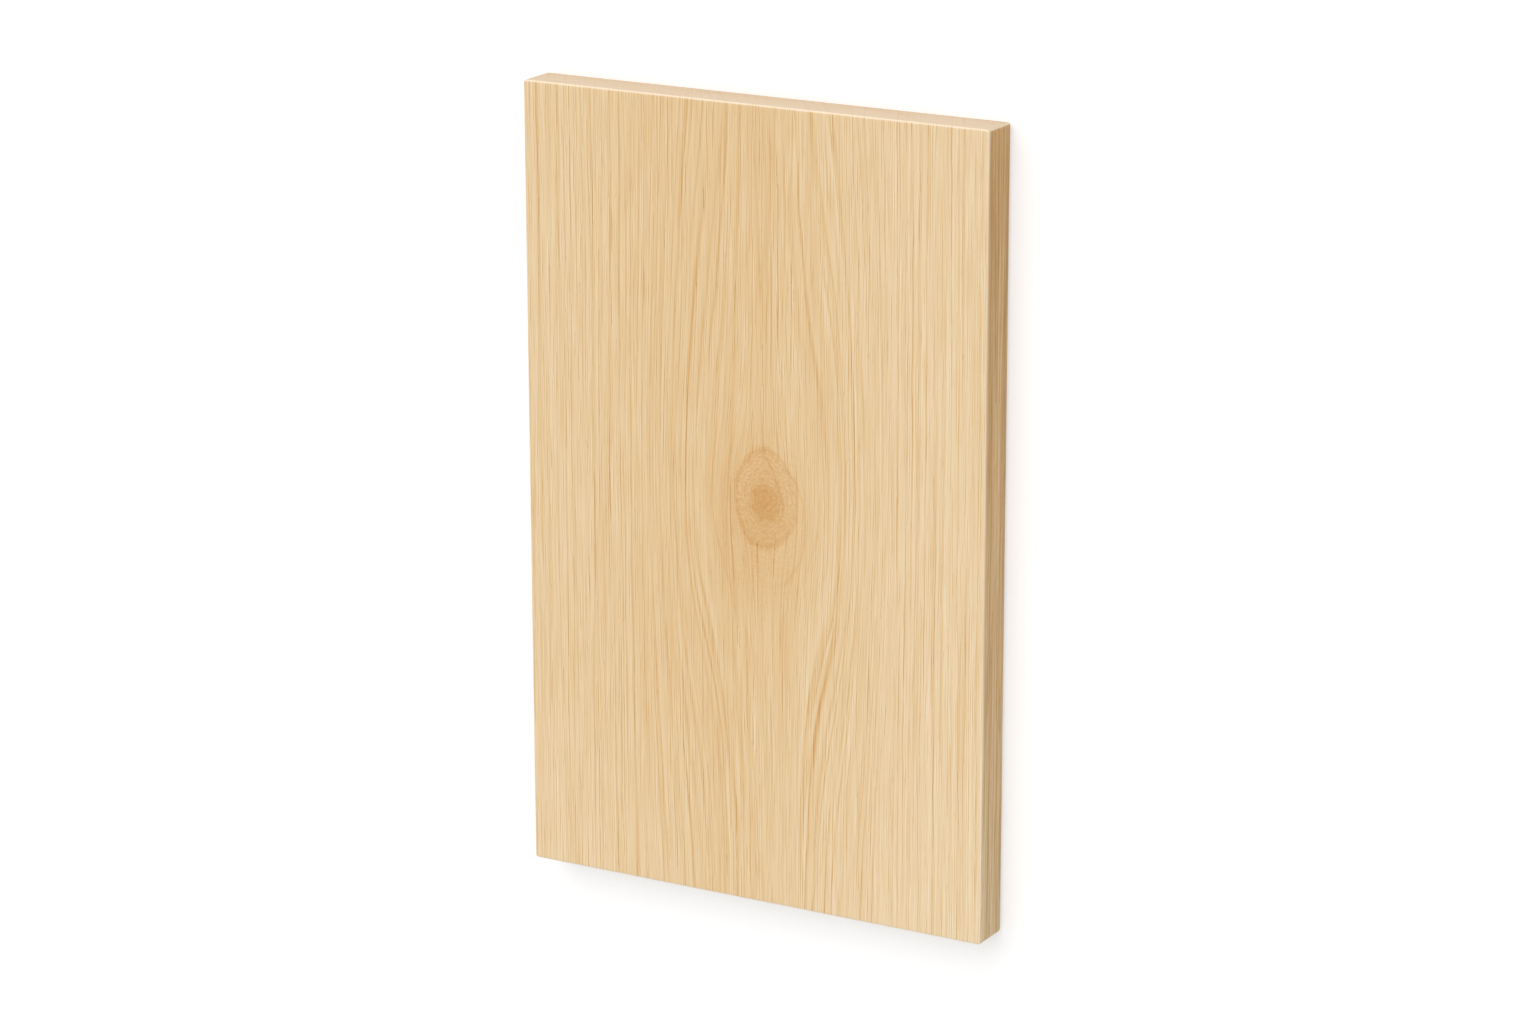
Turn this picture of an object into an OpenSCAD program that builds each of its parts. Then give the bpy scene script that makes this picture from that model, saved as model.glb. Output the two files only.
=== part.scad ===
// Solid parquet plank, one piece of light oak, lying flat with its wear face up.
// X runs along the grain, Y across it and Z up. The origin is the middle of the underside.
// All four sides are square-edged. The wear face has a crisp arris that rolls round the
// corners, and the underside is relieved so that laid planks close up tight at the face.

/* [Plank] */
// Length along the grain
plank_length = 300; // [200:5:600]
// Width across the grain
plank_width = 190; // [90:5:240]
// Thickness from the underside to the wear face
plank_thickness = 18; // [10:0.5:28]

/* [Eased edges] */
// Radius of the arris round the wear face
face_arris = 0.6; // [0.2:0.1:1]
// Radius of the four upright corners, seen from above
corner_radius = 1.2; // [1.1:0.1:6]
// Radius that relieves the arris round the underside
underside_relief = 3; // [0.5:0.5:5]

/* [Hidden] */
oak = [0.90, 0.78, 0.60];
$fn = 64;
// Length and width of the straight stretches between the upright corners
straight_length = plank_length - 2 * corner_radius;
straight_width = plank_width - 2 * corner_radius;

// What rounding takes off a square arris. The arris is at the origin, and the wood
// lies below it and to its left.
module arris_waste(radius) {
    translate([-radius, -radius]) difference() {
        square(2 * radius);
        circle(r = radius);
    }
}

// Half of an upright section, from the middle out to reach, with its face arris eased
module eased_half(reach) {
    difference() {
        square([reach, plank_thickness]);
        translate([reach, plank_thickness]) arris_waste(face_arris);
    }
}

// A straight run along X of the eased section, centred on the origin
module eased_run(run, across) {
    rotate([90, 0, 90]) linear_extrude(run, center = true)
        for (side = [0, 1]) mirror([side, 0]) eased_half(across / 2);
}

// One upright corner, turned from the same section so that the arris rolls round it
module eased_corner() {
    rotate_extrude() eased_half(corner_radius);
}

// The board with its wear face finished and its underside still square
module blank() {
    eased_run(straight_length, plank_width);
    rotate(90) eased_run(straight_width, plank_length);
    for (x = [-1, 1], y = [-1, 1])
        translate([x * straight_length / 2, y * straight_width / 2]) eased_corner();
}

// What the relief takes off under both long sides of a board that lies along X
module relief_waste(run, across) {
    rotate([90, 0, 90]) linear_extrude(run + 2 * underside_relief, center = true)
        for (side = [0, 1])
            mirror([side, 0]) translate([across / 2, 0])
                mirror([0, 1]) arris_waste(underside_relief);
}

module plank() {
    color(oak) difference() {
        blank();
        relief_waste(plank_length, plank_width);
        rotate(90) relief_waste(plank_width, plank_length);
    }
}

plank();
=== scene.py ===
import math

import bmesh
import bpy
from mathutils import Matrix, Quaternion, Vector


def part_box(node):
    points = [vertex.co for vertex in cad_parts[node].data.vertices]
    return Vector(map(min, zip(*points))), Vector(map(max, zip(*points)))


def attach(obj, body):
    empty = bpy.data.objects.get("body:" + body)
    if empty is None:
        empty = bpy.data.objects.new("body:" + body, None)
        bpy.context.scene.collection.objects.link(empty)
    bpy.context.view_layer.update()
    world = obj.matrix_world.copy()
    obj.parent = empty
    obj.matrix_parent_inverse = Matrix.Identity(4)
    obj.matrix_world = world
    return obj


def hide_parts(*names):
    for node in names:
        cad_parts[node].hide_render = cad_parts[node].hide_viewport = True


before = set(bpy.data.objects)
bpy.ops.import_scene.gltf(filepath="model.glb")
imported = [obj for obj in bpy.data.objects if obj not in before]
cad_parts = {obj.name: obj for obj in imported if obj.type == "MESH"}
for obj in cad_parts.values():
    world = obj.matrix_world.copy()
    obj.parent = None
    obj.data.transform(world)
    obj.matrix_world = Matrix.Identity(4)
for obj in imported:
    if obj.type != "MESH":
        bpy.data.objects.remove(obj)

bl_info = {
    "name": "Parquet Plank",
    "version": (1, 0, 0),
    "blender": (4, 5, 0),
    "location": "View3D > Sidebar > Plank",
    "description": "Builds a solid oak parquet plank lying on a pale studio floor",
    "category": "Add Mesh",
}

# The plank lies with X along the grain, Y across it and Z up through the thickness.
PLANK = "plank"
LOWEST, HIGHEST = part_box(PLANK)
UNDERSIDE = LOWEST.z
WEAR_FACE = HIGHEST.z
MIDDLE = (LOWEST + HIGHEST) / 2
HALF_LENGTH = (HIGHEST.x - LOWEST.x) / 2
HALF_WIDTH = (HIGHEST.y - LOWEST.y) / 2
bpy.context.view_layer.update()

MM = 0.001
PER_METRE = 1000
QUARTER_TURN = math.pi / 2
ROUNDING = 1e-9


# ---------------------------------------------------------------------------
# Sums in a node tree
# ---------------------------------------------------------------------------


class Figure:
    """A number on its way through a node tree, so that the wood's maths reads as plain sums."""

    def __init__(self, tree, socket):
        self.tree = tree
        self.socket = socket

    def step(self, operation, *others):
        return work_out(self.tree, operation, self, *others)

    def __add__(self, other):
        return self.step("ADD", other)

    def __radd__(self, other):
        return self.step("ADD", other)

    def __sub__(self, other):
        return self.step("SUBTRACT", other)

    def __rsub__(self, other):
        return work_out(self.tree, "SUBTRACT", other, self)

    def __mul__(self, other):
        return self.step("MULTIPLY", other)

    def __rmul__(self, other):
        return self.step("MULTIPLY", other)

    def __truediv__(self, other):
        return self.step("DIVIDE", other)

    def __abs__(self):
        return self.step("ABSOLUTE")

    def sign(self):
        return self.step("SIGN")

    def least(self, other):
        return self.step("MINIMUM", other)

    def most(self, other):
        return self.step("MAXIMUM", other)

    def bell(self, reach):
        """1 at nothing, falling away smoothly beyond reach either side."""
        part = self / reach
        return work_out(self.tree, "EXPONENT", part * part * -1)

    def ease(self, start, end):
        """0 at start and 1 at end, with a soft rise between them."""
        node = self.tree.nodes.new("ShaderNodeMapRange")
        node.interpolation_type = "SMOOTHSTEP"
        feed(self.tree, node.inputs["Value"], self)
        feed(self.tree, node.inputs["From Min"], start)
        feed(self.tree, node.inputs["From Max"], end)
        return Figure(self.tree, node.outputs["Result"])


def feed(tree, socket, value):
    """Gives a socket either a figure from the tree or a plain value."""
    if isinstance(value, Figure):
        tree.links.new(value.socket, socket)
    else:
        socket.default_value = value


def work_out(tree, operation, *values):
    """Adds one sum to the tree, and gives back its result."""
    node = tree.nodes.new("ShaderNodeMath")
    node.operation = operation
    for socket, value in zip(node.inputs, values):
        feed(tree, socket, value)
    return Figure(tree, node.outputs[0])


def distance(one, other):
    """How far the point (one, other) is from the origin."""
    return (one * one + other * other).step("SQRT")


def oval(side, rise, half_width, half_length):
    """How far out a point lies from the middle of an oval, whose edge is at 1."""
    return distance(side / half_width, rise / half_length)


def cloud(tree, across, along, deep, detail=0.0):
    """Smooth noise between about -1 and 1, with one lump to each unit.

    A number added to a place only picks another patch of the same noise.
    """
    place = tree.nodes.new("ShaderNodeCombineXYZ")
    for socket, value in zip(place.inputs, (across, along, deep)):
        feed(tree, socket, value)
    noise = tree.nodes.new("ShaderNodeTexNoise")
    noise.inputs["Scale"].default_value = 1.0
    noise.inputs["Detail"].default_value = detail
    tree.links.new(place.outputs[0], noise.inputs["Vector"])
    return Figure(tree, noise.outputs[0]) * 2 - 1


def scatter(tree, across, along):
    """How far off the nearest of many scattered points lies, each way, and a lot it drew."""
    place = tree.nodes.new("ShaderNodeCombineXYZ")
    feed(tree, place.inputs[0], across)
    feed(tree, place.inputs[1], along)
    points = tree.nodes.new("ShaderNodeTexVoronoi")
    points.voronoi_dimensions = "2D"
    points.inputs["Scale"].default_value = 1.0
    tree.links.new(place.outputs[0], points.inputs["Vector"])
    apart = tree.nodes.new("ShaderNodeVectorMath")
    apart.operation = "SUBTRACT"
    tree.links.new(place.outputs[0], apart.inputs[0])
    tree.links.new(points.outputs["Position"], apart.inputs[1])
    away = tree.nodes.new("ShaderNodeSeparateXYZ")
    tree.links.new(apart.outputs[0], away.inputs[0])
    lot = tree.nodes.new("ShaderNodeSeparateXYZ")
    tree.links.new(points.outputs["Color"], lot.inputs[0])
    beside, beyond = [Figure(tree, socket) for socket in away.outputs[:2]]
    return beside, beyond, Figure(tree, lot.outputs[0])


def make_group(kind, name, takes, gives, recipe):
    """A node group of one kind, shader or geometry, whose sockets are plain numbers."""
    tree = bpy.data.node_groups.new(name, kind)
    for label, default in takes.items():
        socket = tree.interface.new_socket(label, in_out="INPUT", socket_type="NodeSocketFloat")
        socket.default_value = default
    for label in gives:
        tree.interface.new_socket(label, in_out="OUTPUT", socket_type="NodeSocketFloat")
    inner = tree.nodes.new("NodeGroupInput")
    outer = tree.nodes.new("NodeGroupOutput")
    results = recipe(tree, *[Figure(tree, inner.outputs[label]) for label in takes])
    for label, result in zip(gives, results):
        feed(tree, outer.inputs[label], result)
    return tree


def use_group(tree, group, **values):
    """Places a group in a tree, and gives back what it puts out by name."""
    kind = "GeometryNodeGroup" if tree.bl_idname == "GeometryNodeTree" else "ShaderNodeGroup"
    node = tree.nodes.new(kind)
    node.node_tree = group
    node.label = group.name
    for label, value in values.items():
        feed(tree, node.inputs[label.replace("_", " ").title()], value)
    return {socket.name: Figure(tree, socket) for socket in node.outputs}


# ---------------------------------------------------------------------------
# Oak, in millimetres of the plank
# ---------------------------------------------------------------------------

# Strokes of the grain: the gap from one to the next, their length and half their width.
GROWTH_RING = (6.0, 260, 1.0)
GROWTH_LINE = (3.3, 190, 0.5)
BOLD_VESSEL = (2.2, 50, 0.34)
FINE_VESSEL = (1.25, 17, 0.26)
HAIR_VESSEL = (0.8, 10, 0.18)

# The knot: its place from the plank's middle, and half its width and length.
KNOT_ALONG = 4.3
KNOT_ACROSS = -5.7
KNOT_HALF_WIDTH = 12.0
KNOT_HALF_LENGTH = 18.5
# How far the bold growth line bows out by the knot, and how far the fibres part.
BOW = 21.0
PARTING = 5.0

# Marks in and round the knot: half their width and half their length.
CORE = (6.6, 7.4)
HALO = (16, 26)
LAP = (8.9, 19)
SKIRT = (15.8, 24)

# The growth layers rise towards the plank's sides by the distance squared over this.
CROWN = 1500
# How deep under a side its own look begins to fade, and where it has gone.
SIDE_SKIN = (0.05, 0.45)
# The heights over which the knot opens out, from the underside up.
KNOT_OPENS = (3, 13)
# One unit of darkness is this many steps from clear oak to the darkest grain.
STAIN_STEPS = 4


def grain_flow(tree, along, across, height, thickness, knot_along, knot_across, bow, parting):
    """Where a point lies in the tree's own grain, which parts round the knot and closes again.

    The fibres part a little and the growth layers bow out wide: drift and layer are the
    places across them. Depth is the way in through the growth layers, from the wear face
    down. Past eye and fold are how far a point lies outside two lines round the knot, a
    faint one close by and a bold one further out.
    """
    # Seen with +X up, side is to the right of the knot and rise is above it.
    rise = along - knot_along
    side = knot_across - across
    slow_wave = cloud(tree, side / 40, rise / 170, height / 50 + 3.3) * 1.3
    quick_wave = cloud(tree, side / 5, rise / 24, height / 14 + 7.1) * 0.28
    leaning = side + slow_wave + quick_wave
    spread = abs(side)
    # One side of the grain takes longer to close towards +X, the other towards -X.
    right = side.ease(-8, 8)
    reach_up = 75 + 225 * right
    reach_down = 260 - 195 * right
    closing = rise.most(0).bell(reach_up) * rise.least(0).bell(reach_down)
    zone = spread.ease(0, 17) * (1 - spread.ease(30, 62 + 20 * right))
    close_by = spread.ease(0, 9) * side.bell(24) * rise.bell(24)
    parted = side.sign() * (zone * closing * (1 - right * 0.25) + close_by * 0.4) * parting
    drift = leaning - parted
    depth = thickness - height + drift * drift / CROWN + slow_wave * 0.3
    up = rise.sign()
    opening = rise.bell(115 + 25 * up) * bow
    bowed = spread.ease(0, 37) * (1 - spread.ease(26, 63)) * opening * 0.92
    layer = leaning - side.sign() * bowed
    fold = abs(leaning) - opening - side.sign() * 1.7 - 10.3
    past_eye = abs(leaning) - 8 - rise.bell(48.5 + 11.5 * up) * 14.5
    return drift, layer, depth, past_eye, fold


def dashes(tree, line, along, depth, gap, length, half_width):
    """Strokes scattered along the grain, each between two fainter flanks of the other sign.

    Gives their strength, and the lot that each stroke drew.
    """
    beside, beyond, lot = scatter(tree, (line + depth * 0.6) / gap, (along + depth * 4) / length)
    off = abs(beside) * gap
    reach = lot * 0.35 + 0.25
    flank_end = gap * 0.6
    # The flanks weigh as much as the stroke, so that the wood's tone stays even.
    flank = (1 - off.ease(half_width, flank_end)) * (half_width / (half_width + flank_end))
    stroke = 1 - off.ease(0.02, half_width) - flank
    return stroke * (1 - abs(beyond).ease(reach * 0.5, reach)), lot


def oak_streaks(tree, drift, layer, along, depth, end):
    """How dark the grain and its open vessels are, how the flecked edges run, and its relief."""
    ring, ring_lot = dashes(tree, layer + 13.1, along + 83, depth, *GROWTH_RING)
    line, line_lot = dashes(tree, layer + 31.3, along + 7, depth, *GROWTH_LINE)
    bold, bold_lot = dashes(tree, drift + 3.7, along + 41, depth, *BOLD_VESSEL)
    fine, fine_lot = dashes(tree, drift, along, depth, *FINE_VESSEL)
    hair, hair_lot = dashes(tree, drift + 9.1, along + 17, depth, *HAIR_VESSEL)
    # The rest of the grain, from fine streaks to broad ones.
    streak = cloud(tree, drift / 0.75 + 57.1, along / 18, depth / 0.75 + 3.29)
    thread = cloud(tree, drift / 1.1 + 31.7, along / 50, depth / 1.1 + 8.4)
    cord = cloud(tree, layer / 2.0 + 12.9, along / 100, depth / 2.0 + 1.7)
    broad = cloud(tree, layer / 3.3 + 3.7, along / 150, depth / 3.3 + 2.61)
    thin_leaf = cloud(tree, drift / 20 + 1.3, along / 80 + 5.5, depth / 1.3 + 4.2).bell(0.16)
    thick_leaf = cloud(tree, drift / 30 + 8.3, along / 170 + 3.1, depth / 2.1 + 7.7)
    cross = 1 - end * 0.8
    # Between the bold lines the board shows one flat layer, with hardly a line in it.
    lines = ring * (ring_lot * 0.12 + 0.085) + line * (line_lot * 0.14 + 0.075)
    lines = lines * (abs(layer).ease(5.5, 11.5) * 0.85 + 0.15)
    soft = streak * 0.09 + thread.most(0) * 0.11 + cord.most(0) * 0.11 + broad * 0.02
    # The threads and cords only darken, so what they add on the whole is taken off again.
    darkness = (lines + soft - 0.037) * cross
    bold_pore = bold * bold_lot * (bold_lot * 0.85 + 0.15)
    fine_pore = fine * fine_lot * (fine_lot * 0.95 + 0.15)
    hair_pore = hair * hair_lot * (hair_lot * 0.8 + 0.2)
    # Vessels crowd in the rings of early wood.
    crowded = ring * 0.8 + line * 0.6 + 1
    pore = (bold_pore * 1.3 + fine_pore * 1.45 + hair_pore * 1.6) * crowded * cross
    leaf = thin_leaf - 0.25 + thick_leaf
    relief = 0.5 - bold * 0.5 - fine * 0.3 - line * 0.3 + broad * 0.3
    return darkness, leaf, pore, relief


def knot_rings(tree, along, across, height, past_eye, fold, knot_along, knot_across,
               knot_half_width, knot_half_length):
    """How much darker the knot and the wood round it are, and how far they calm the grain.

    The heart is the knot's dark middle and the rim its edge. The lap is a fold of wood to
    the upper right of the heart, the skirt a faint line outside the rim on the right, and
    the halo the warmer wood round it all.
    """
    rise = along - knot_along
    side = knot_across - across
    wobble = cloud(tree, side / 9, rise / 11, height / 9 + 2.2)
    jitter = cloud(tree, side / 2.2, rise / 3, height / 4 + 5.2)
    ragged = wobble * 0.045 + jitter * 0.035
    upper = rise.most(0)
    # The knot tapers a little upwards, and is fuller on the side of its lap.
    half_width = knot_half_width - upper * 0.05 + side.ease(0, 8) * 1.5
    ring = oval(side + 0.3, rise - 1.3, half_width, knot_half_length) + ragged
    inside = 1 - ring.ease(0.9, 1.08)
    fleck = cloud(tree, side / 0.7, rise / 0.9, height / 0.9, 1.0)
    scribble = cloud(tree, side / 1.7 + 4.4, rise / 1.5, height / 2).bell(0.13)
    core = oval(side, rise + 0.3, *CORE) + ragged * 3 + fleck * 0.16
    heart = 1 - core.ease(0.62, 1.15)
    glow = ring.bell(0.62)
    halo = 1 - oval(side, rise + 6, *HALO).ease(0.45, 1.9)
    rim = (ring - 1 + fleck * 0.03).bell(0.06) * (1 - side.ease(0, 9) * 0.5)
    rim = rim * (0.85 + scribble * 0.5)
    lap_ring = oval(side + 1.5, rise + 1, LAP[0] - upper * 0.2, LAP[1]) + ragged * 0.8
    lap = (lap_ring - 1).bell(0.055) * side.ease(-4, 0) * rise.ease(-9, -1)
    skirt_ring = oval(side - 1, rise + 8, *SKIRT) + ragged * 0.9
    skirt = (skirt_ring - 1).bell(0.04) * side.ease(4, 11)
    arcs = (ring * 46 + wobble * 7 + jitter * 2).step("COSINE")
    left = 1 - side.ease(-12, 6) * 0.6
    eye_line = past_eye.bell(0.45) * rise.bell(46) * left
    patchy = cloud(tree, side / 30, rise / 37, height / 9 + 6.6).ease(-0.5, 0.3)
    fold_line = (fold.bell(0.55) * 0.2 - (fold + 2.4).bell(1.4) * (left * 0.065)) * patchy
    fold_line = fold_line + (fold - 9).bell(0.5) * 0.06 + (fold - 4.5).bell(0.4) * patchy * 0.06
    # How far each of these marks darkens the wood.
    low = 1 - rise.ease(-12, 0)
    darkness = heart * 0.15 + glow * 0.12 + inside * (low * 0.06 + 0.03) + halo * 0.09
    darkness = darkness + rim * 0.17 + lap * 0.17
    darkness = darkness + skirt * 0.09 + eye_line * 0.1 + fold_line * rise.bell(120)
    grainy = fleck * 0.13 + scribble * 0.14 + arcs * 0.04 - 0.045
    darkness = darkness + inside.most(halo * 0.45) * grainy
    # The knot is full at the wear face and has closed up before the underside.
    opened = height.ease(*KNOT_OPENS)
    calm = inside.most(halo * 0.3)
    return darkness * opened, calm * opened, (rim + lap + skirt * 0.5) * opened


def plank_zones(tree, along, across, height, half_length, half_width, thickness):
    """Which parts of the plank's skin are end grain, long edge and worn arris, with a painted
    highlight along the arris and the upright corners.

    Shade is where dark lines run along the edges: growth lines lower down, and a darker line close
    under the face.
    """
    to_end = half_length - abs(along)
    to_edge = half_width - abs(across)
    to_face = thickness - height
    end = 1 - to_end.ease(*SIDE_SKIN)
    edge = (1 - to_edge.ease(*SIDE_SKIN)) * (1 - end)
    ragged = cloud(tree, along / 7, across / 7, height / 2 + 0.4, 2.0)
    nearest = to_end.least(to_edge)
    by_end = 1 - to_end.ease(0.3, 1.2)
    below_face = to_face.most(0) * (by_end * 0.4 + 0.6)
    arris = distance(nearest.most(0), below_face) + ragged * 0.2
    # The pale mark along the arris and up the upright corners is partly wear and partly a painted
    # highlight.
    corner = 1 - (distance(to_end.most(0), to_edge.most(0)) + ragged * 0.1).ease(0.5, 1.1)
    wear = ((1 - arris.ease(0.3, 0.85)) * (by_end * 0.5 + 0.5)).most(corner * 0.8)
    # Dark lines run along the edges: growth lines lower down, and a darker line close under the
    # face.
    skin = 1 - nearest.ease(0.05, 0.3)
    patchy = cloud(tree, along / 45, across / 30, height / 9).ease(-0.35, 0.35)
    wander = cloud(tree, along / 60 + 4.4, across / 60, height / 50) * 0.8
    under = (to_face - 2 - wander * 0.3).bell(0.3) * 0.5
    deep = ((to_face - 5.2 - wander).bell(0.45) + (to_face - 14.8 + wander).bell(0.7)) * patchy
    shade = (under + deep * 1.3) * skin
    return end, edge, wear, shade


def oak_groups(kind):
    """The oak's node groups, for colouring the plank or for shaping it."""
    thickness = (WEAR_FACE - UNDERSIDE) * PER_METRE
    place = {"Along": 0.0, "Across": 0.0, "Height": 0.0}
    knot = {"Knot Along": KNOT_ALONG, "Knot Across": KNOT_ACROSS}
    return {
        "flow": make_group(
            kind, "grain flow",
            {**place, "Thickness": thickness, **knot, "Bow": BOW, "Parting": PARTING},
            ("Drift", "Layer", "Depth", "Past Eye", "Fold"), grain_flow),
        "streaks": make_group(
            kind, "oak streaks",
            {"Drift": 0.0, "Layer": 0.0, "Along": 0.0, "Depth": 0.0, "End": 0.0},
            ("Darkness", "Leaf", "Pore", "Relief"), oak_streaks),
        "knot": make_group(
            kind, "knot rings",
            {**place, "Past Eye": 0.0, "Fold": 0.0, **knot,
             "Knot Half Width": KNOT_HALF_WIDTH, "Knot Half Length": KNOT_HALF_LENGTH},
            ("Darkness", "Calm", "Rim"), knot_rings),
        "zones": make_group(
            kind, "plank zones",
            {**place, "Half Length": HALF_LENGTH * PER_METRE,
             "Half Width": HALF_WIDTH * PER_METRE, "Thickness": thickness},
            ("End", "Edge", "Wear", "Shade"), plank_zones),
    }


def read_wood(tree, place, groups, wood):
    """Runs a place in the plank through every oak group, and gathers what they say."""
    split = tree.nodes.new("ShaderNodeSeparateXYZ")
    tree.links.new(place, split.inputs[0])
    along, across, height = [Figure(tree, socket) * PER_METRE for socket in split.outputs]
    at = {"along": along, "across": across, "height": height}
    knot = {
        "knot_along": wood.knot_along * PER_METRE,
        "knot_across": wood.knot_across * PER_METRE,
    }
    zones = use_group(tree, groups["zones"], **at)
    flow = use_group(
        tree, groups["flow"], **at, **knot, bow=wood.bow * PER_METRE,
        parting=wood.parting * PER_METRE)
    streaks = use_group(
        tree, groups["streaks"], drift=flow["Drift"], layer=flow["Layer"], along=along,
        depth=flow["Depth"], end=zones["End"])
    rings = use_group(
        tree, groups["knot"], **at, past_eye=flow["Past Eye"], fold=flow["Fold"], **knot,
        knot_half_width=wood.knot_half_width * PER_METRE,
        knot_half_length=wood.knot_half_length * PER_METRE)
    return at, streaks, rings, zones


def lay_over(tree, share, under, over):
    """Lays one colour over another, as far as the share says."""
    node = tree.nodes.new("ShaderNodeMix")
    node.data_type = "RGBA"
    node.clamp_factor = False
    feed(tree, node.inputs["Factor"], share)
    lower, upper = [socket for socket in node.inputs if socket.type == "RGBA"]
    tree.links.new(under, lower)
    upper.default_value = (*over, 1.0)
    return [socket for socket in node.outputs if socket.type == "RGBA"][0]


def deepen(tree, colour, share, full, clear):
    """Darkens a colour as stain does, towards full over clear where the share is 1."""
    split = tree.nodes.new("ShaderNodeSeparateColor")
    if isinstance(colour, bpy.types.NodeSocket):
        tree.links.new(colour, split.inputs[0])
    else:
        split.inputs[0].default_value = (*colour, 1.0)
    join = tree.nodes.new("ShaderNodeCombineColor")
    for channel in range(3):
        kept = work_out(tree, "POWER", full[channel] / clear[channel], share)
        feed(tree, join.inputs[channel], Figure(tree, split.outputs[channel]) * kept)
    return join.outputs[0]


def oak_material(wood):
    """Light oak, sanded and oiled matt."""
    material = bpy.data.materials.new("light_oak")
    material.use_nodes = True
    tree = material.node_tree
    tree.nodes.clear()
    groups = oak_groups("ShaderNodeTree")
    place = tree.nodes.new("ShaderNodeTexCoord").outputs["Object"]
    at, streaks, rings, zones = read_wood(tree, place, groups, wood)
    along, across, height = at.values()
    # The board's heart is a little deeper in colour than its long sides, and the face is a little
    # lighter towards its -X end.
    heart = (across - 10).bell(52)
    tone = heart * 0.1 - 0.039 + across * 0.0002 + (along + 60).least(0) * 0.0005
    calm = 1 - rings["Calm"]
    darkness = streaks["Darkness"] * calm + rings["Darkness"] + tone
    # The long sides are darker, partly in the edge grain's own tone and partly as painted shade,
    # which deepens towards the +X end.
    darkness = darkness + zones["Edge"] * (along * 0.0009 + 0.22) + zones["Shade"] * 0.12
    stain = darkness * STAIN_STEPS
    oak = deepen(tree, wood.clear_oak, stain, wood.grain_brown, wood.clear_oak)
    pores = streaks["Pore"] * calm
    oak = deepen(tree, oak, pores, wood.vessel_brown, wood.clear_oak)
    lines = streaks["Leaf"] * (zones["Edge"] * 0.4 + zones["End"] * 0.1)
    oak = deepen(tree, oak, lines, wood.edge_grain, wood.clear_oak)
    oak = lay_over(tree, zones["End"] * 0.85, oak, wood.end_grain)
    # The growth layers show as faint arcs where the saw has cut across them.
    arcs = zones["End"] * (streaks["Leaf"] * 0.15 + streaks["Darkness"] * 6)
    oak = deepen(tree, oak, arcs, wood.grain_brown, wood.clear_oak)
    # The arris and the upright corners are laid over in a pale colour, partly wear and partly a
    # painted highlight. The sawn ends are paler towards the wear face.
    paler = (zones["Wear"] * 0.85).most(zones["End"] * height.ease(*KNOT_OPENS) * 0.22)
    oak = lay_over(tree, paler, oak, wood.bare_arris_and_highlight)
    shader = tree.nodes.new("ShaderNodeBsdfPrincipled")
    tree.links.new(oak, shader.inputs["Base Color"])
    rough = 0.56 + streaks["Pore"] * 0.12 + zones["End"] * 0.12
    feed(tree, shader.inputs["Roughness"], rough)
    shader.inputs["Specular IOR Level"].default_value = 0.3
    bump = tree.nodes.new("ShaderNodeBump")
    bump.inputs["Strength"].default_value = 0.5
    bump.inputs["Distance"].default_value = wood.pore_depth
    surface = 1 + (streaks["Relief"] * 0.3 - streaks["Pore"]) * calm
    feed(tree, bump.inputs["Height"], surface)
    tree.links.new(bump.outputs["Normal"], shader.inputs["Normal"])
    output = tree.nodes.new("ShaderNodeOutputMaterial")
    tree.links.new(shader.outputs[0], output.inputs["Surface"])
    return material


def grain_relief(piece, shape, wood):
    """Lowers the skin along the same grain that the colour shows, and roughens the arris."""
    groups = oak_groups("GeometryNodeTree")
    tree = bpy.data.node_groups.new("grain relief", "GeometryNodeTree")
    for in_out in ("INPUT", "OUTPUT"):
        tree.interface.new_socket("Geometry", in_out=in_out, socket_type="NodeSocketGeometry")
    inner = tree.nodes.new("NodeGroupInput")
    outer = tree.nodes.new("NodeGroupOutput")
    place = tree.nodes.new("GeometryNodeInputPosition").outputs[0]
    _, streaks, rings, zones = read_wood(tree, place, groups, wood)
    grain = (1 - streaks["Relief"]).ease(0, 1) * (1 - rings["Calm"]) * shape.grain_relief
    dent = rings["Rim"] * shape.grain_relief * 1.2 + zones["Wear"] * shape.arris_wear
    inward = tree.nodes.new("ShaderNodeVectorMath")
    inward.operation = "SCALE"
    tree.links.new(tree.nodes.new("GeometryNodeInputNormal").outputs[0], inward.inputs[0])
    feed(tree, inward.inputs["Scale"], (grain + dent) * -1)
    move = tree.nodes.new("GeometryNodeSetPosition")
    tree.links.new(inner.outputs[0], move.inputs["Geometry"])
    tree.links.new(inward.outputs[0], move.inputs["Offset"])
    tree.links.new(move.outputs[0], outer.inputs[0])
    piece.modifiers.new("grain relief", "NODES").node_group = tree
    settle(piece)


def settle(piece):
    """Makes what the modifiers do part of the mesh itself."""
    seen = piece.evaluated_get(bpy.context.evaluated_depsgraph_get())
    worked = bpy.data.meshes.new_from_object(seen)
    piece.modifiers.clear()
    rough_blank = piece.data
    piece.data = worked
    worked.name = rough_blank.name + "_worked"
    bpy.data.meshes.remove(rough_blank)


# ---------------------------------------------------------------------------
# The plank's skin
# ---------------------------------------------------------------------------

# Faces round the relief underneath, before and beyond the end of the corner's rounding.
RELIEF_STEPS = (4, 3)
# The plain rim that the underside keeps between its relief and its grid of faces.
UNDERSIDE_RIM = 3 * MM

# On the flat sheet, 1 across: the gap between sides, and the underside's part of their scale.
SHEET_GAP = 0.006
UNDERSIDE_SCALE = 0.36
# How far up or down a face points for it to lie with the wear face or the underside.
FACES_UP = 0.6
FACES_DOWN = -0.75


def even_steps(low, high, count):
    """The values from low to high, in as many even steps as the count says."""
    return [low + (high - low) * step / count for step in range(count + 1)]


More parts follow.
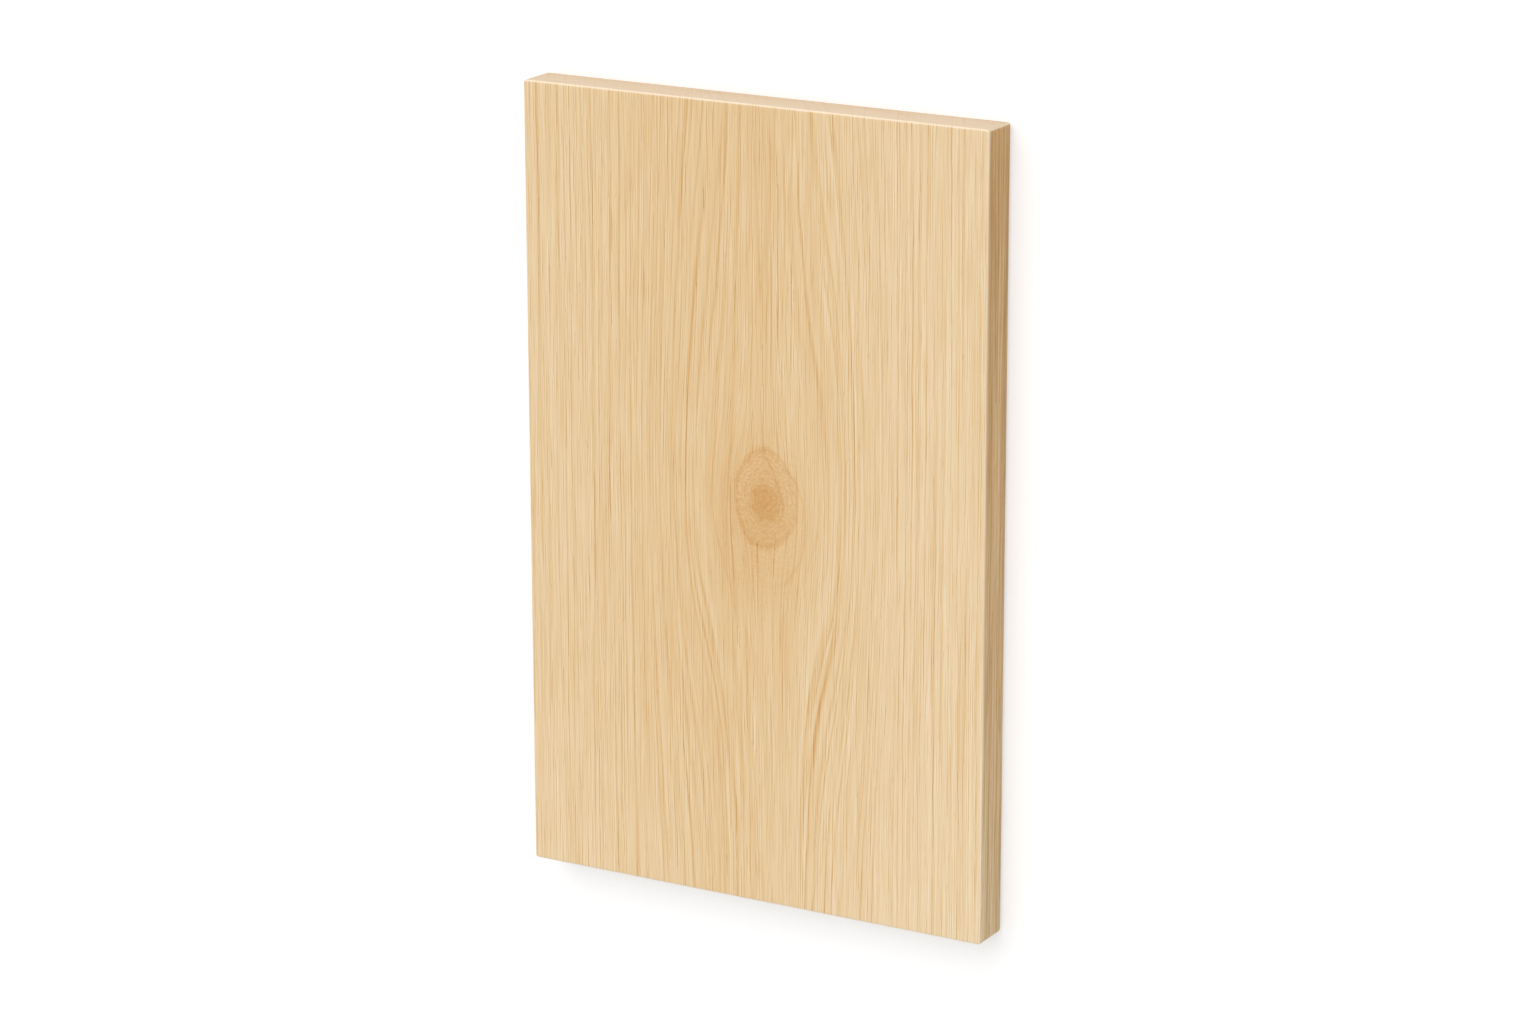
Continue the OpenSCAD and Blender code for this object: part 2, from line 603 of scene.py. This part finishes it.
class Skin:
    """The plank's skin, laid on in rings from the wear face round to the underside."""

    def __init__(self, shape):
        self.shape = shape
        self.corner = shape.corner_radius
        self.reach_x = HALF_LENGTH - self.corner
        self.reach_y = HALF_WIDTH - self.corner
        self.xs = even_steps(-self.reach_x, self.reach_x, shape.rows_along)
        self.ys = even_steps(-self.reach_y, self.reach_y, shape.columns_across)
        self.points = []
        self.faces = []
        self.posts = self.walk_round()

    def add(self, x, y, z):
        self.points.append((x + MIDDLE.x, y + MIDDLE.y, z))
        return len(self.points) - 1

    def walk_round(self):
        """Each post is a stop on the way round: its grid stop and which way is outwards."""
        last_x = len(self.xs) - 1
        last_y = len(self.ys) - 1
        sides = (
            ([(i, 0) for i in range(last_x + 1)], -90),
            ([(last_x, j) for j in range(last_y + 1)], 0),
            ([(i, last_y) for i in range(last_x, -1, -1)], 90),
            ([(0, j) for j in range(last_y, -1, -1)], 180),
        )
        posts = []
        turns = self.shape.corner_steps
        for stops, facing in sides:
            out = (round(math.cos(math.radians(facing))), round(math.sin(math.radians(facing))))
            posts += [(stop, out) for stop in stops]
            for turn in range(1, turns):
                angle = math.radians(facing + 90 * turn / turns)
                posts.append((stops[-1], (math.cos(angle), math.sin(angle))))
        return posts

    def ring(self, out, z):
        """A ring at one height, out beyond the middles of the upright corners or short of them."""
        if out > 0:
            return [
                self.add(self.xs[i] + out * nx, self.ys[j] + out * ny, z)
                for (i, j), (nx, ny) in self.posts
            ]
        made = {}
        ring = []
        shrink_x = (self.reach_x + out) / self.reach_x
        shrink_y = (self.reach_y + out) / self.reach_y
        for (i, j), _ in self.posts:
            if (i, j) not in made:
                made[i, j] = self.add(self.xs[i] * shrink_x, self.ys[j] * shrink_y, z)
            ring.append(made[i, j])
        return ring

    def face(self, *corners):
        """A face without the corners that fall together."""
        kept = [c for n, c in enumerate(corners) if c != corners[n - 1]]
        if len(set(kept)) > 2:
            self.faces.append(kept)

    def band(self, upper, lower):
        """The band of faces between two rings."""
        for n in range(len(upper)):
            self.face(upper[n - 1], lower[n - 1], lower[n], upper[n])

    def flat(self, columns, rows, z, up):
        """A flat grid of faces, and the point at each of its crossings."""
        grid = [[self.add(x, y, z) for y in columns] for x in rows]
        for i in range(len(rows) - 1):
            for j in range(len(columns) - 1):
                corners = (grid[i][j], grid[i + 1][j], grid[i + 1][j + 1], grid[i][j + 1])
                self.face(*(corners if up else corners[::-1]))
        return grid

    def lay(self):
        """Lays the wear face, the sides and the underside, each joined to the last."""
        shape = self.shape
        grid = self.flat(self.ys, self.xs, WEAR_FACE, True)
        above = [grid[i][j] for (i, j), _ in self.posts]
        for out, z in self.section():
            below = self.ring(out, z)
            self.band(above, below)
            above = below
        # The underside needs no fine grain, so its columns are a few of the wear face's.
        step = shape.underside_step
        inset = shape.underside_relief + UNDERSIDE_RIM - self.corner
        shrink_x = (self.reach_x - inset) / self.reach_x
        shrink_y = (self.reach_y - inset) / self.reach_y
        columns = [y * shrink_y for y in self.ys[::step]]
        rows = [x * shrink_x for x in self.xs]
        grid = self.flat(columns, rows, UNDERSIDE, False)
        below = [grid[i][(j + step // 2) // step] for (i, j), _ in self.posts]
        self.band(above, below)

    def section(self):
        """The outline from the wear face's edge down the side and in under the plank."""
        shape = self.shape
        arris = shape.arris_radius
        relief = shape.underside_relief
        steps = shape.arris_steps
        flat = self.corner - arris
        for step in range(steps + 1):
            angle = QUARTER_TURN * step / steps
            yield flat + arris * math.sin(angle), WEAR_FACE - arris + arris * math.cos(angle)
        top = WEAR_FACE - arris
        foot = UNDERSIDE + relief
        for z in even_steps(top, foot, shape.side_steps)[1:]:
            yield self.corner, z
        # One step falls just where the rounding of the upright corner runs out.
        runs_out = math.acos(1 - self.corner / relief)
        before = even_steps(0, runs_out, RELIEF_STEPS[0])[1:-1]
        beyond = even_steps(runs_out, QUARTER_TURN, RELIEF_STEPS[1])
        for angle in before + beyond:
            inset = relief * (1 - math.cos(angle))
            out = self.corner - inset
            if abs(out) < ROUNDING:
                out = 0
            yield out, foot - relief * math.sin(angle)


def unfold(mesh):
    """Lays each side of the plank flat on one square sheet, with least room for the underside."""
    length, width, thickness = HIGHEST - LOWEST
    gap = SHEET_GAP
    fine = (1 - 2 * gap) / length
    coarse = UNDERSIDE_SCALE * fine
    above_face = gap + width * fine + gap
    above_near = above_face + thickness * fine + gap
    above_far = above_near + thickness * fine + gap
    beside_under = gap + length * coarse + gap
    above_end = above_far + thickness * fine + gap
    layer = mesh.uv_layers.new(name="OFBake")
    for polygon in mesh.polygons:
        normal = polygon.normal
        for loop in polygon.loop_indices:
            point = mesh.vertices[mesh.loops[loop].vertex_index].co
            along, across, height = point - LOWEST
            if normal.z > FACES_UP:
                left, bottom, scale, place = gap, gap, fine, (along, across)
            elif normal.z < FACES_DOWN:
                left, bottom, scale, place = gap, above_far, coarse, (along, across)
            elif abs(normal.y) > abs(normal.x):
                bottom = above_face if normal.y < 0 else above_near
                left, scale, place = gap, fine, (along, height)
            else:
                bottom = above_far if normal.x > 0 else above_end
                left, scale, place = beside_under, fine, (across, height)
            layer.data[loop].uv = (left + place[0] * scale, bottom + place[1] * scale)


# ---------------------------------------------------------------------------
# What a user can change
# ---------------------------------------------------------------------------


class PlankShape(bpy.types.PropertyGroup):
    arris_radius: bpy.props.FloatProperty(
        name="Face Arris", description="Radius of the arris round the wear face",
        default=0.6 * MM, min=0.2 * MM, max=1 * MM, precision=4, unit="LENGTH")
    corner_radius: bpy.props.FloatProperty(
        name="Corner Radius", description="Radius of the four upright corners",
        default=1.2 * MM, min=1.1 * MM, max=6 * MM, precision=4, unit="LENGTH")
    underside_relief: bpy.props.FloatProperty(
        name="Underside Relief", description="Radius that relieves the arris underneath",
        default=3 * MM, min=2 * MM, max=5 * MM, precision=4, unit="LENGTH")
    arris_wear: bpy.props.FloatProperty(
        name="Arris Wear", description="How far handling has worn the arris back",
        default=0.08 * MM, min=0, max=0.3 * MM, precision=5, unit="LENGTH")
    grain_relief: bpy.props.FloatProperty(
        name="Grain Relief", description="How far the soft grain lies below the hard grain",
        default=0.04 * MM, min=0, max=0.2 * MM, precision=5, unit="LENGTH")
    rows_along: bpy.props.IntProperty(
        name="Rows Along", description="Rows of faces along the wear face",
        default=140, min=10, max=600)
    columns_across: bpy.props.IntProperty(
        name="Columns Across", description="Columns of faces across the wear face",
        default=320, min=10, max=600)
    side_steps: bpy.props.IntProperty(
        name="Side Steps", description="Rows of faces down each side",
        default=24, min=2, max=60)
    corner_steps: bpy.props.IntProperty(
        name="Corner Steps", description="Faces round each upright corner",
        default=6, min=2, max=16)
    arris_steps: bpy.props.IntProperty(
        name="Arris Steps", description="Faces round the arris of the wear face",
        default=4, min=2, max=12)
    underside_step: bpy.props.IntProperty(
        name="Underside Step", description="Wear face columns to one column underneath",
        default=4, min=1, max=10)


class OakWood(bpy.types.PropertyGroup):
    clear_oak: bpy.props.FloatVectorProperty(
        name="Clear Oak", description="Colour of the oak between the streaks of its grain",
        default=(0.79, 0.57, 0.32), min=0, max=1, subtype="COLOR")
    grain_brown: bpy.props.FloatVectorProperty(
        name="Grain Brown", description="Colour of the darkest grain on the face",
        default=(0.702, 0.438, 0.194), min=0, max=1, subtype="COLOR")
    vessel_brown: bpy.props.FloatVectorProperty(
        name="Vessel Brown", description="Colour of the open vessels on the face",
        default=(0.674, 0.426, 0.190), min=0, max=1, subtype="COLOR")
    edge_grain: bpy.props.FloatVectorProperty(
        name="Edge Grain", description="Colour of the darkest lines along the plank's edges",
        default=(0.474, 0.291, 0.112), min=0, max=1, subtype="COLOR")
    end_grain: bpy.props.FloatVectorProperty(
        name="End Grain", description="Colour of the sawn ends",
        default=(0.79, 0.60, 0.41), min=0, max=1, subtype="COLOR")
    # Partly the colour of the rubbed arris, partly a painted highlight where the light catches it.
    bare_arris_and_highlight: bpy.props.FloatVectorProperty(
        name="Bare Arris", description="Colour of the rubbed arris round the wear face",
        default=(0.96, 0.82, 0.64), min=0, max=1, subtype="COLOR")
    pore_depth: bpy.props.FloatProperty(
        name="Pore Depth", description="How deep the open pores look",
        default=0.05 * MM, min=0, max=0.5 * MM, precision=5, unit="LENGTH")
    knot_along: bpy.props.FloatProperty(
        name="Knot Along", description="Place of the knot along the plank from its middle",
        default=KNOT_ALONG * MM, precision=4, unit="LENGTH")
    knot_across: bpy.props.FloatProperty(
        name="Knot Across", description="Place of the knot across the plank from its middle",
        default=KNOT_ACROSS * MM, precision=4, unit="LENGTH")
    knot_half_width: bpy.props.FloatProperty(
        name="Knot Half Width", description="Half the knot's width across the grain",
        default=KNOT_HALF_WIDTH * MM, min=1 * MM, precision=4, unit="LENGTH")
    knot_half_length: bpy.props.FloatProperty(
        name="Knot Half Length", description="Half the knot's length along the grain",
        default=KNOT_HALF_LENGTH * MM, min=1 * MM, precision=4, unit="LENGTH")
    parting: bpy.props.FloatProperty(
        name="Grain Parting", description="How far the grain parts on each side of the knot",
        default=PARTING * MM, min=0, precision=4, unit="LENGTH")
    bow: bpy.props.FloatProperty(
        name="Bold Line Bow", description="How far the bold growth line bows out by the knot",
        default=BOW * MM, min=0, precision=4, unit="LENGTH")


class PlankStage(bpy.types.PropertyGroup):
    lens: bpy.props.FloatProperty(
        name="Lens", description="Focal length of the camera in millimetres",
        default=112.5, min=10)
    camera_azimuth: bpy.props.FloatProperty(
        name="Camera Azimuth", description="Way to the camera from the plank, about Z from +X",
        default=math.radians(-59.868), subtype="ANGLE")
    camera_elevation: bpy.props.FloatProperty(
        name="Camera Elevation", description="Height of the camera above the floor",
        default=math.radians(56.694), subtype="ANGLE")
    camera_roll: bpy.props.FloatProperty(
        name="Camera Roll", description="Turn of the camera about its own line of sight",
        default=math.radians(-115.962), subtype="ANGLE")
    camera_distance: bpy.props.FloatProperty(
        name="Camera Distance", description="From the camera to the middle of the wear face",
        default=1.7358, min=0.1, unit="LENGTH")
    aim: bpy.props.FloatVectorProperty(
        name="Aim", description="What the camera looks at, from the middle of the wear face",
        default=(0.8 * MM, -7.0 * MM, 0), precision=4, subtype="XYZ", unit="LENGTH")
    key_strength: bpy.props.FloatProperty(
        name="Key Strength", description="Strength of the soft light from beyond the +X end",
        default=1.58, min=0)
    key_elevation: bpy.props.FloatProperty(
        name="Key Elevation", description="Height of the soft light above the floor",
        default=math.radians(52.7), subtype="ANGLE")
    room_light: bpy.props.FloatProperty(
        name="Room Light", description="Strength of the even light from all round",
        default=0.6, min=0)
    floor_colour: bpy.props.FloatVectorProperty(
        name="Floor Colour", description="Colour of the pale studio floor",
        default=(0.65, 0.65, 0.65), min=0, max=1, subtype="COLOR")
    floor_lift: bpy.props.FloatProperty(
        name="Floor Lift", description="Light added to the floor where the camera sees it",
        default=0.42, min=0, max=1)


# ---------------------------------------------------------------------------
# Operators
# ---------------------------------------------------------------------------

FLOOR_RADIUS = 30
FLOOR_SIDES = 96
# How broad the soft light looks from the plank.
KEY_BREADTH = math.radians(60)


class PLANK_OT_board(bpy.types.Operator):
    """Build the oak plank with its eased edges, its grain and its knot"""

    bl_idname = "plank.board"
    bl_label = "Oak Board"

    def execute(self, context):
        shape = context.scene.plank_shape
        wood = context.scene.plank_wood
        skin = Skin(shape)
        skin.lay()
        mesh = bpy.data.meshes.new("oak_board")
        mesh.from_pydata(skin.points, [], skin.faces)
        mesh.validate()
        unfold(mesh)
        mesh.shade_smooth()
        check_closed(mesh)
        board = bpy.data.objects.new("oak_board", mesh)
        context.collection.objects.link(board)
        grain_relief(board, shape, wood)
        board.data.materials.append(oak_material(wood))
        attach(board, "root")
        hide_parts(PLANK)
        return {"FINISHED"}


def check_closed(mesh):
    """Stops the script if the skin has a gap or a stray edge."""
    skin = bmesh.new()
    skin.from_mesh(mesh)
    loose = sum(1 for edge in skin.edges if not edge.is_manifold)
    skin.free()
    if loose:
        raise RuntimeError(f"the plank's skin has {loose} open edges")


class PLANK_OT_stage(bpy.types.Operator):
    """Set the camera, the pale floor and the soft light round the plank"""

    bl_idname = "plank.stage"
    bl_label = "Studio Stage"

    def execute(self, context):
        stage = context.scene.plank_stage
        place_camera(context, stage)
        lay_floor(context, stage)
        light_room(context, stage)
        context.scene.view_settings.view_transform = "Standard"
        return {"FINISHED"}


def way_to(azimuth, elevation):
    """The way from the plank, turned about Z from +X and raised above the floor."""
    flat = math.cos(elevation)
    return Vector((flat * math.cos(azimuth), flat * math.sin(azimuth), math.sin(elevation)))


def place_camera(context, stage):
    """A long lens that looks down on the wear face."""
    back = way_to(stage.camera_azimuth, stage.camera_elevation)
    aim = Vector((MIDDLE.x, MIDDLE.y, WEAR_FACE)) + Vector(stage.aim)
    data = bpy.data.cameras.new("plank_camera")
    data.lens = stage.lens
    data.sensor_fit = "HORIZONTAL"
    data.clip_start = 0.01
    data.clip_end = 100
    camera = bpy.data.objects.new("plank_camera", data)
    context.collection.objects.link(camera)
    turn = back.to_track_quat("Z", "Y") @ Quaternion((0, 0, 1), stage.camera_roll)
    place = Matrix.Translation(aim + back * stage.camera_distance)
    camera.matrix_world = place @ turn.to_matrix().to_4x4()
    context.scene.camera = camera


def camera_sees(tree):
    """1 where the camera sees a surface, itself or by reflection or through glass."""
    path = tree.nodes.new("ShaderNodeLightPath")
    rays = [Figure(tree, path.outputs[f"Is {ray} Ray"]) for ray in
            ("Camera", "Glossy", "Transmission")]
    return rays[0].most(rays[1]).most(rays[2])


def floor_material(stage):
    """Matt and pale, and lifted towards white only for the camera."""
    material = bpy.data.materials.new("studio_floor")
    material.use_nodes = True
    tree = material.node_tree
    shader = tree.nodes["Principled BSDF"]
    shader.inputs["Base Color"].default_value = (*stage.floor_colour, 1)
    shader.inputs["Roughness"].default_value = 0.9
    shader.inputs["Specular IOR Level"].default_value = 0
    shader.inputs["Emission Color"].default_value = (1, 1, 1, 1)
    feed(tree, shader.inputs["Emission Strength"], camera_sees(tree) * stage.floor_lift)
    return material


def lay_floor(context, stage):
    """A round floor, wide enough to meet the white of the room far off."""
    mesh = bpy.data.meshes.new("studio_floor")
    disc = bmesh.new()
    bmesh.ops.create_circle(disc, cap_ends=True, segments=FLOOR_SIDES, radius=FLOOR_RADIUS)
    disc.to_mesh(mesh)
    disc.free()
    floor = bpy.data.objects.new("studio_floor", mesh)
    floor.location.z = UNDERSIDE
    context.collection.objects.link(floor)
    mesh.materials.append(floor_material(stage))


def light_room(context, stage):
    """One broad soft light from high beyond the +X end, in a room that gives even light."""
    back = way_to(0, stage.key_elevation)
    lamp = bpy.data.lights.new("soft_key", "SUN")
    lamp.angle = KEY_BREADTH
    lamp.energy = stage.key_strength
    key = bpy.data.objects.new("soft_key", lamp)
    context.collection.objects.link(key)
    turn = back.to_track_quat("Z", "Y")
    key.matrix_world = Matrix.Translation(back) @ turn.to_matrix().to_4x4()
    world = bpy.data.worlds.new("studio_room")
    context.scene.world = world
    world.use_nodes = True
    tree = world.node_tree
    strength = camera_sees(tree).most(stage.room_light)
    background = tree.nodes["Background"]
    background.inputs["Color"].default_value = (1, 1, 1, 1)
    feed(tree, background.inputs["Strength"], strength)


class PLANK_PT_panel(bpy.types.Panel):
    bl_idname = "PLANK_PT_panel"
    bl_label = "Parquet Plank"
    bl_space_type = "VIEW_3D"
    bl_region_type = "UI"
    bl_category = "Plank"

    def draw(self, context):
        scene = context.scene
        for settings, operator in (
            (scene.plank_shape, None),
            (scene.plank_wood, PLANK_OT_board.bl_idname),
            (scene.plank_stage, PLANK_OT_stage.bl_idname),
        ):
            box = self.layout.box()
            for name in settings.__annotations__:
                box.prop(settings, name)
            if operator:
                box.operator(operator)


SETTINGS = {"plank_shape": PlankShape, "plank_wood": OakWood, "plank_stage": PlankStage}
CLASSES = (*SETTINGS.values(), PLANK_OT_board, PLANK_OT_stage, PLANK_PT_panel)


def register():
    for kind in CLASSES:
        bpy.utils.register_class(kind)
    for name, kind in SETTINGS.items():
        setattr(bpy.types.Scene, name, bpy.props.PointerProperty(type=kind))


def unregister():
    for name in SETTINGS:
        delattr(bpy.types.Scene, name)
    for kind in reversed(CLASSES):
        bpy.utils.unregister_class(kind)


def main():
    register()
    bpy.ops.plank.board()
    bpy.ops.plank.stage()


if __name__ == "__main__":
    main()
